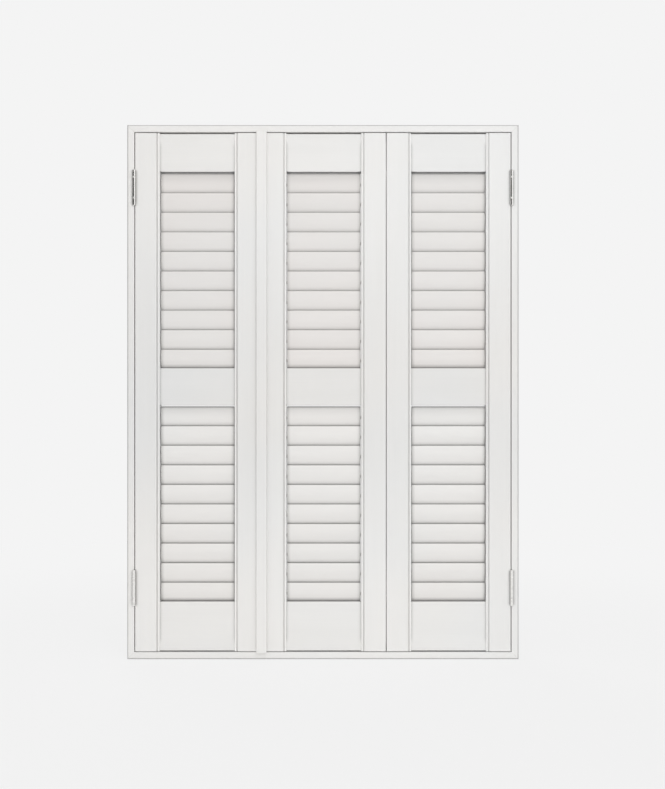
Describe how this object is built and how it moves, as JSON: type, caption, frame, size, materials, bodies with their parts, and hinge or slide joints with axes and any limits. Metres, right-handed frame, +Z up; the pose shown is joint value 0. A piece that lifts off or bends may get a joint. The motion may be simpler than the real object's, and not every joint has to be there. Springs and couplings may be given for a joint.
{
  "type": "window shutter",
  "caption": "White painted louvred window shutter in a rebated frame: hinged folding panels with beaded stiles, tilting louvres, a rear tilt rod and a moulded cover strip.",
  "frame": {"origin": "middle of the sill's underside, on the plane of the louvre axes", "axes": "+Z up, +X to the right seen from the room, -Y towards the room, the front"},
  "size_m": [0.8076, 0.055, 1.1019],
  "materials": {
    "paint": "satin white paint",
    "louvre_paint": "satin white paint",
    "hinge_metal": "polished nickel plate",
    "rod_metal": "satin white coating"
  },
  "bodies": {
    "frame": {"frame_head": "paint", "frame_sill": "paint", "frame_left_jamb": "paint", "frame_right_jamb": "paint", "frame_hinge_leaves": "hinge_metal"},
    "left_panel": {"left_hinge_stile": "paint", "left_meeting_stile": "paint", "left_hinge_leaves": "hinge_metal", "left_top_rail": "paint", "left_mid_rail": "paint", "left_bottom_rail": "paint", "left_lower_louvres": "louvre_paint"},
    "middle_panel": {"middle_meeting_stile": "paint", "middle_fold_stile": "paint", "middle_hinge_leaves": "hinge_metal", "middle_top_rail": "paint", "middle_mid_rail": "paint", "middle_bottom_rail": "paint", "middle_lower_louvres": "louvre_paint", "cover_strip": "paint"},
    "right_panel": {"right_fold_stile": "paint", "right_hinge_stile": "paint", "right_hinge_leaves": "hinge_metal", "right_top_rail": "paint", "right_mid_rail": "paint", "right_bottom_rail": "paint", "right_lower_louvres": "louvre_paint"},
    "left_louvre_1": {"left_louvre_1": "louvre_paint"},
    "left_louvre_2": {"left_louvre_2": "louvre_paint"},
    "left_louvre_3": {"left_louvre_3": "louvre_paint"},
    "left_louvre_4": {"left_louvre_4": "louvre_paint"},
    "left_louvre_5": {"left_louvre_5": "louvre_paint"},
    "left_louvre_6": {"left_louvre_6": "louvre_paint"},
    "left_louvre_7": {"left_louvre_7": "louvre_paint"},
    "left_louvre_8": {"left_louvre_8": "louvre_paint"},
    "left_louvre_9": {"left_louvre_9": "louvre_paint"},
    "left_louvre_10": {"left_louvre_10": "louvre_paint"},
    "left_tilt_rod": {"left_tilt_rod": "rod_metal"},
    "middle_louvre_1": {"middle_louvre_1": "louvre_paint"},
    "middle_louvre_2": {"middle_louvre_2": "louvre_paint"},
    "middle_louvre_3": {"middle_louvre_3": "louvre_paint"},
    "middle_louvre_4": {"middle_louvre_4": "louvre_paint"},
    "middle_louvre_5": {"middle_louvre_5": "louvre_paint"},
    "middle_louvre_6": {"middle_louvre_6": "louvre_paint"},
    "middle_louvre_7": {"middle_louvre_7": "louvre_paint"},
    "middle_louvre_8": {"middle_louvre_8": "louvre_paint"},
    "middle_louvre_9": {"middle_louvre_9": "louvre_paint"},
    "middle_louvre_10": {"middle_louvre_10": "louvre_paint"},
    "middle_tilt_rod": {"middle_tilt_rod": "rod_metal"},
    "right_louvre_1": {"right_louvre_1": "louvre_paint"},
    "right_louvre_2": {"right_louvre_2": "louvre_paint"},
    "right_louvre_3": {"right_louvre_3": "louvre_paint"},
    "right_louvre_4": {"right_louvre_4": "louvre_paint"},
    "right_louvre_5": {"right_louvre_5": "louvre_paint"},
    "right_louvre_6": {"right_louvre_6": "louvre_paint"},
    "right_louvre_7": {"right_louvre_7": "louvre_paint"},
    "right_louvre_8": {"right_louvre_8": "louvre_paint"},
    "right_louvre_9": {"right_louvre_9": "louvre_paint"},
    "right_louvre_10": {"right_louvre_10": "louvre_paint"},
    "right_tilt_rod": {"right_tilt_rod": "rod_metal"}
  },
  "joints": [
    {"name": "right_panel_open", "type": "hinge", "parent": "frame", "child": "right_panel", "pos_m": [0.3886, -0.01735, 0.55095], "axis": [0, 0, 1], "range_deg": [0, 180]},
    {"name": "middle_fold", "type": "hinge", "parent": "right_panel", "child": "middle_panel", "pos_m": [0.13045, 0.018, 0.55095], "axis": [0, 0, -1], "range_deg": [0, 165]},
    {"name": "left_panel_open", "type": "hinge", "parent": "frame", "child": "left_panel", "pos_m": [-0.3886, -0.01735, 0.55095], "axis": [0, 0, -1], "range_deg": [0, 180]},
    {"name": "left_tilt", "type": "hinge", "parent": "left_panel", "child": "left_louvre_1", "pos_m": [-0.25915, 0, 0.98002], "axis": [1, 0, 0], "range_deg": [0, 120]},
    {"name": "left_tilt_2", "type": "hinge", "parent": "left_panel", "child": "left_louvre_2", "pos_m": [-0.25915, 0, 0.93952], "axis": [1, 0, 0], "range_deg": [0, 120]},
    {"name": "left_tilt_3", "type": "hinge", "parent": "left_panel", "child": "left_louvre_3", "pos_m": [-0.25915, 0, 0.89902], "axis": [1, 0, 0], "range_deg": [0, 120]},
    {"name": "left_tilt_4", "type": "hinge", "parent": "left_panel", "child": "left_louvre_4", "pos_m": [-0.25915, 0, 0.85852], "axis": [1, 0, 0], "range_deg": [0, 120]},
    {"name": "left_tilt_5", "type": "hinge", "parent": "left_panel", "child": "left_louvre_5", "pos_m": [-0.25915, 0, 0.81802], "axis": [1, 0, 0], "range_deg": [0, 120]},
    {"name": "left_tilt_6", "type": "hinge", "parent": "left_panel", "child": "left_louvre_6", "pos_m": [-0.25915, 0, 0.77752], "axis": [1, 0, 0], "range_deg": [0, 120]},
    {"name": "left_tilt_7", "type": "hinge", "parent": "left_panel", "child": "left_louvre_7", "pos_m": [-0.25915, 0, 0.73702], "axis": [1, 0, 0], "range_deg": [0, 120]},
    {"name": "left_tilt_8", "type": "hinge", "parent": "left_panel", "child": "left_louvre_8", "pos_m": [-0.25915, 0, 0.69652], "axis": [1, 0, 0], "range_deg": [0, 120]},
    {"name": "left_tilt_9", "type": "hinge", "parent": "left_panel", "child": "left_louvre_9", "pos_m": [-0.25915, 0, 0.65602], "axis": [1, 0, 0], "range_deg": [0, 120]},
    {"name": "left_tilt_10", "type": "hinge", "parent": "left_panel", "child": "left_louvre_10", "pos_m": [-0.25915, 0, 0.61552], "axis": [1, 0, 0], "range_deg": [0, 120]},
    {"name": "left_rod_link", "type": "hinge", "parent": "left_louvre_1", "child": "left_tilt_rod", "pos_m": [-0.3211, 0.00519, 0.95439], "axis": [1, 0, 0], "range_deg": [-120, 0]},
    {"name": "middle_tilt", "type": "hinge", "parent": "middle_panel", "child": "middle_louvre_1", "pos_m": [0.00175, 0, 0.98002], "axis": [1, 0, 0], "range_deg": [0, 120]},
    {"name": "middle_tilt_2", "type": "hinge", "parent": "middle_panel", "child": "middle_louvre_2", "pos_m": [0.00175, 0, 0.93952], "axis": [1, 0, 0], "range_deg": [0, 120]},
    {"name": "middle_tilt_3", "type": "hinge", "parent": "middle_panel", "child": "middle_louvre_3", "pos_m": [0.00175, 0, 0.89902], "axis": [1, 0, 0], "range_deg": [0, 120]},
    {"name": "middle_tilt_4", "type": "hinge", "parent": "middle_panel", "child": "middle_louvre_4", "pos_m": [0.00175, 0, 0.85852], "axis": [1, 0, 0], "range_deg": [0, 120]},
    {"name": "middle_tilt_5", "type": "hinge", "parent": "middle_panel", "child": "middle_louvre_5", "pos_m": [0.00175, 0, 0.81802], "axis": [1, 0, 0], "range_deg": [0, 120]},
    {"name": "middle_tilt_6", "type": "hinge", "parent": "middle_panel", "child": "middle_louvre_6", "pos_m": [0.00175, 0, 0.77752], "axis": [1, 0, 0], "range_deg": [0, 120]},
    {"name": "middle_tilt_7", "type": "hinge", "parent": "middle_panel", "child": "middle_louvre_7", "pos_m": [0.00175, 0, 0.73702], "axis": [1, 0, 0], "range_deg": [0, 120]},
    {"name": "middle_tilt_8", "type": "hinge", "parent": "middle_panel", "child": "middle_louvre_8", "pos_m": [0.00175, 0, 0.69652], "axis": [1, 0, 0], "range_deg": [0, 120]},
    {"name": "middle_tilt_9", "type": "hinge", "parent": "middle_panel", "child": "middle_louvre_9", "pos_m": [0.00175, 0, 0.65602], "axis": [1, 0, 0], "range_deg": [0, 120]},
    {"name": "middle_tilt_10", "type": "hinge", "parent": "middle_panel", "child": "middle_louvre_10", "pos_m": [0.00175, 0, 0.61552], "axis": [1, 0, 0], "range_deg": [0, 120]},
    {"name": "middle_rod_link", "type": "hinge", "parent": "middle_louvre_1", "child": "middle_tilt_rod", "pos_m": [-0.0602, 0.00519, 0.95439], "axis": [1, 0, 0], "range_deg": [-120, 0]},
    {"name": "right_tilt", "type": "hinge", "parent": "right_panel", "child": "right_louvre_1", "pos_m": [0.25915, 0, 0.98002], "axis": [1, 0, 0], "range_deg": [0, 120]},
    {"name": "right_tilt_2", "type": "hinge", "parent": "right_panel", "child": "right_louvre_2", "pos_m": [0.25915, 0, 0.93952], "axis": [1, 0, 0], "range_deg": [0, 120]},
    {"name": "right_tilt_3", "type": "hinge", "parent": "right_panel", "child": "right_louvre_3", "pos_m": [0.25915, 0, 0.89902], "axis": [1, 0, 0], "range_deg": [0, 120]},
    {"name": "right_tilt_4", "type": "hinge", "parent": "right_panel", "child": "right_louvre_4", "pos_m": [0.25915, 0, 0.85852], "axis": [1, 0, 0], "range_deg": [0, 120]},
    {"name": "right_tilt_5", "type": "hinge", "parent": "right_panel", "child": "right_louvre_5", "pos_m": [0.25915, 0, 0.81802], "axis": [1, 0, 0], "range_deg": [0, 120]},
    {"name": "right_tilt_6", "type": "hinge", "parent": "right_panel", "child": "right_louvre_6", "pos_m": [0.25915, 0, 0.77752], "axis": [1, 0, 0], "range_deg": [0, 120]},
    {"name": "right_tilt_7", "type": "hinge", "parent": "right_panel", "child": "right_louvre_7", "pos_m": [0.25915, 0, 0.73702], "axis": [1, 0, 0], "range_deg": [0, 120]},
    {"name": "right_tilt_8", "type": "hinge", "parent": "right_panel", "child": "right_louvre_8", "pos_m": [0.25915, 0, 0.69652], "axis": [1, 0, 0], "range_deg": [0, 120]},
    {"name": "right_tilt_9", "type": "hinge", "parent": "right_panel", "child": "right_louvre_9", "pos_m": [0.25915, 0, 0.65602], "axis": [1, 0, 0], "range_deg": [0, 120]},
    {"name": "right_tilt_10", "type": "hinge", "parent": "right_panel", "child": "right_louvre_10", "pos_m": [0.25915, 0, 0.61552], "axis": [1, 0, 0], "range_deg": [0, 120]},
    {"name": "right_rod_link", "type": "hinge", "parent": "right_louvre_1", "child": "right_tilt_rod", "pos_m": [0.3211, 0.00519, 0.95439], "axis": [1, 0, 0], "range_deg": [-120, 0]}
  ],
  "couplings": [
    {"joint": "middle_fold", "follows": "right_panel_open", "ratio": 0.91667},
    {"joint": "left_panel_open", "follows": "right_panel_open", "ratio": 1},
    {"joint": "left_tilt_2", "follows": "left_tilt", "ratio": 1},
    {"joint": "left_tilt_3", "follows": "left_tilt", "ratio": 1},
    {"joint": "left_tilt_4", "follows": "left_tilt", "ratio": 1},
    {"joint": "left_tilt_5", "follows": "left_tilt", "ratio": 1},
    {"joint": "left_tilt_6", "follows": "left_tilt", "ratio": 1},
    {"joint": "left_tilt_7", "follows": "left_tilt", "ratio": 1},
    {"joint": "left_tilt_8", "follows": "left_tilt", "ratio": 1},
    {"joint": "left_tilt_9", "follows": "left_tilt", "ratio": 1},
    {"joint": "left_tilt_10", "follows": "left_tilt", "ratio": 1},
    {"joint": "left_rod_link", "follows": "left_tilt", "ratio": -1},
    {"joint": "middle_tilt_2", "follows": "middle_tilt", "ratio": 1},
    {"joint": "middle_tilt_3", "follows": "middle_tilt", "ratio": 1},
    {"joint": "middle_tilt_4", "follows": "middle_tilt", "ratio": 1},
    {"joint": "middle_tilt_5", "follows": "middle_tilt", "ratio": 1},
    {"joint": "middle_tilt_6", "follows": "middle_tilt", "ratio": 1},
    {"joint": "middle_tilt_7", "follows": "middle_tilt", "ratio": 1},
    {"joint": "middle_tilt_8", "follows": "middle_tilt", "ratio": 1},
    {"joint": "middle_tilt_9", "follows": "middle_tilt", "ratio": 1},
    {"joint": "middle_tilt_10", "follows": "middle_tilt", "ratio": 1},
    {"joint": "middle_rod_link", "follows": "middle_tilt", "ratio": -1},
    {"joint": "right_tilt_2", "follows": "right_tilt", "ratio": 1},
    {"joint": "right_tilt_3", "follows": "right_tilt", "ratio": 1},
    {"joint": "right_tilt_4", "follows": "right_tilt", "ratio": 1},
    {"joint": "right_tilt_5", "follows": "right_tilt", "ratio": 1},
    {"joint": "right_tilt_6", "follows": "right_tilt", "ratio": 1},
    {"joint": "right_tilt_7", "follows": "right_tilt", "ratio": 1},
    {"joint": "right_tilt_8", "follows": "right_tilt", "ratio": 1},
    {"joint": "right_tilt_9", "follows": "right_tilt", "ratio": 1},
    {"joint": "right_tilt_10", "follows": "right_tilt", "ratio": 1},
    {"joint": "right_rod_link", "follows": "right_tilt", "ratio": -1}
  ]
}
